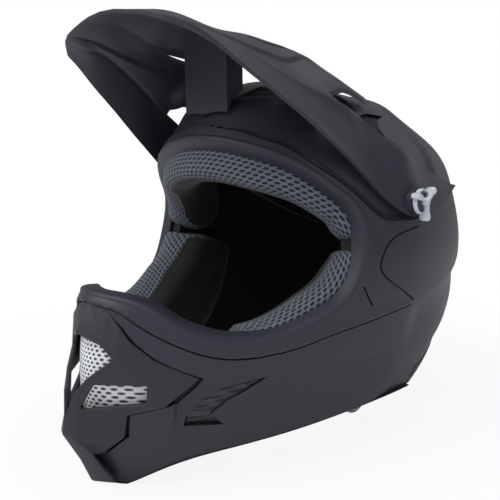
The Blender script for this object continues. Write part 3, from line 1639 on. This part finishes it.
@dataclass
class SoftCopies:
    """The soft pieces inside, which keep the modelled form with rounded edges and get a cloth finish."""

    finishes: Finishes
    nodes: dict

    def build(self) -> None:
        """Makes and dresses every soft piece."""
        lining, webbing = self.finishes.lining, self.finishes.webbing
        for name, ending, edge, fill, material, slot in (
            ("crown_pad", "_lining", 1.5, 0.7, lining, Slot.PAD),
            ("neck_roll", "_lining", 1.5, 0.8, lining, Slot.PAD),
            ("strap_left", "_webbing", 0.2, 1.0, webbing, Slot.WEBBING),
            ("strap_right", "_webbing", 0.2, 1.0, webbing, Slot.WEBBING),
        ):
            piece = self._copy(name, name + ending)
            round_edges(piece, edge, 2, 40)
            shade(piece, 40)
            dress(piece, material, Body.HELMET, slot, name)

    def _copy(self, node: str, name: str) -> bpy.types.Object:
        """A node's form as a new piece."""
        source = self.nodes[node]
        piece = bpy.data.objects.new(name, source.data.copy())
        bpy.context.collection.objects.link(piece)
        piece.matrix_world = source.matrix_world.copy()
        return piece


@dataclass
class Studio:
    """The floor, the soft lights and the camera at the photograph's view."""

    azimuth: float = 45.3
    elevation: float = 9.7
    roll: float = -0.8
    place_mm: tuple = (327.0, -359.0, 214.0)
    lens: float = 43.2
    sensor: float = 36.0
    seen_share: float = 0.90
    shadow_reach: float = 0.5
    shadow_start: float = 0.4
    floor_size: float = 14.0
    soft_colour: Colour = (0.93, 0.96, 1.0, 1.0)
    soft_strength: float = 0.31
    aim: Point = (0.0, 0.0, 0.13)
    lamps: tuple = (
        ("key", (-0.5, -1.3, 1.5), 1.4, 26.0),
        ("fill", (1.6, -0.7, 0.9), 1.6, 4.5),
        ("top", (0.2, 0.4, 1.9), 1.6, 9.0),
        ("rim", (0.6, 1.5, 0.8), 1.2, 2.0),
    )

    def build(self) -> None:
        """Makes the studio."""
        self._floor()
        self._world()
        for lamp in self.lamps:
            self._light(*lamp)
        self._camera()

    def _floor(self) -> None:
        """A pale floor that keeps a soft shadow and reads nearly white to the camera."""
        bpy.ops.mesh.primitive_plane_add(size=self.floor_size, location=(0, 0, 0))
        floor = bpy.context.object
        floor.name = "studio_floor"
        shader = Shader("studio_floor")
        shader.set(Base_Color=grey(245, 245, 246), Roughness=0.9)
        x, y, _ = shader.split(shader.place())
        far = (x * x + y * y).power(0.5).ramp(self.shadow_reach * self.shadow_start, self.shadow_reach)
        seen = shader.node("ShaderNodeLightPath", {}, {}, "Is Camera Ray") * (
            far * (1 - self.seen_share) + self.seen_share
        )
        glow = shader.node("ShaderNodeEmission", {}, {"Color": WHITE, "Strength": 1.0})
        lit = Wire(shader, shader.bsdf.outputs[0])
        mixed = shader.node("ShaderNodeMixShader", {}, {0: seen, 1: lit, 2: glow})
        shader.finish("ShaderNodeOutputMaterial", mixed)
        floor.data.materials.append(shader.material)

    def _world(self) -> None:
        """Even light from all round, white behind the helmet."""
        world = bpy.data.worlds.new("studio")
        bpy.context.scene.world = world
        world.use_nodes = True
        world.node_tree.nodes.clear()
        maker = NodeMaker(world.node_tree)
        seen = maker.node("ShaderNodeLightPath", {}, {}, "Is Camera Ray")
        soft = maker.node("ShaderNodeBackground", {}, {"Color": self.soft_colour, "Strength": self.soft_strength})
        white = maker.node("ShaderNodeBackground", {}, {"Color": WHITE, "Strength": 1.0})
        maker.finish("ShaderNodeOutputWorld", maker.node("ShaderNodeMixShader", {}, {0: seen, 1: soft, 2: white}))

    def _light(self, name: str, place: Point, size: float, power: float) -> None:
        """A soft square lamp that faces the helmet."""
        data = bpy.data.lights.new(name, "AREA")
        data.energy = power
        data.size = size
        lamp = bpy.data.objects.new(name, data)
        bpy.context.collection.objects.link(lamp)
        lamp.location = place
        lamp.rotation_euler = (Vector(self.aim) - Vector(place)).to_track_quat("-Z", "Y").to_euler()

    def _camera(self) -> None:
        """The camera at the photograph's place and turn."""
        a, e, r = (math.radians(v) for v in (self.azimuth, self.elevation, self.roll))
        right = Vector((math.cos(a), math.sin(a), 0))
        back = Vector((math.sin(a) * math.cos(e), -math.cos(a) * math.cos(e), math.sin(e)))
        up = back.cross(right)
        right_turned = right * math.cos(r) + up * math.sin(r)
        up_turned = up * math.cos(r) - right * math.sin(r)
        data = bpy.data.cameras.new("camera")
        data.lens = self.lens
        data.sensor_width = self.sensor
        data.sensor_fit = "HORIZONTAL"
        camera = bpy.data.objects.new("camera", data)
        bpy.context.collection.objects.link(camera)
        place = to_metres(np.array([self.place_mm]))[0]
        turn = Matrix((right_turned, up_turned, back)).transposed().to_4x4()
        camera.matrix_world = Matrix.Translation(Vector(place)) @ turn
        bpy.context.scene.camera = camera


@dataclass
class CarriedNodes:
    """The modelled nodes that keep their own shape and get their finish here."""

    finishes: Finishes
    nodes: dict

    def build(self) -> None:
        """Gives each node its material."""
        table = {
            self.finishes.rubber: ("base_trim", "visor_washer_left", "visor_washer_right"),
            self.finishes.pale_mesh: ("muzzle_mesh",),
            self.finishes.dark_mesh: ("side_mesh_left", "side_mesh_right"),
            self.finishes.foam: ("eps_liner", "chin_foam"),
            self.finishes.plate: ("cheek_plate_left", "cheek_plate_right", "cheek_pad_studs", "strap_keeper"),
            self.finishes.brass: ("visor_insert_left", "visor_insert_right"),
            self.finishes.steel: ("strap_anchor_left", "strap_anchor_right", "strap_rivets", "d_ring_outer",
                                  "d_ring_inner"),
        }
        for material, names in table.items():
            for name in names:
                piece = self.nodes[name]
                piece.data.materials.clear()
                piece.data.materials.append(material)
                shade(piece, 30)
                LOG.info("%s keeps its shape", name)


def main() -> None:
    """Builds every piece in order."""
    logging.basicConfig(level=logging.INFO, format="%(message)s")
    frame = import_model()
    finishes = Finishes()
    form = ShellForm()
    ring = PortRing(form)
    OuterShell(form, finishes).build()
    MuzzleGuard(finishes).build()
    PortLip(ring, finishes).build()
    for name, node, start, end, reach, back, thick in (
        ("brow_pad_roll", "brow_pad", 0.292, 0.708, (5, 11, 15, 16, 16, 16, 15, 11, 5), 34, 37),
        ("cheek_pad_roll_left", "cheek_pad_left", 0.135, 0.289, (0, 2, 4, 6, 7, 6, 2), 58, 44),
        ("cheek_pad_roll_right", "cheek_pad_right", 0.711, 0.865, (2, 6, 7, 7, 5, 3, 0), 58, 44),
    ):
        RimPad(ring, finishes, name, node, start, end, reach, back, thick).build()
    Visor(form, finishes).build()
    for side in Side:
        ThumbScrew(finishes, side).build()
    SoftCopies(finishes, frame["nodes"]).build()
    CarriedNodes(finishes, frame["nodes"]).build()
    Studio().build()
    bpy.context.scene.view_settings.view_transform = "Standard"


if __name__ == "__main__":
    main()
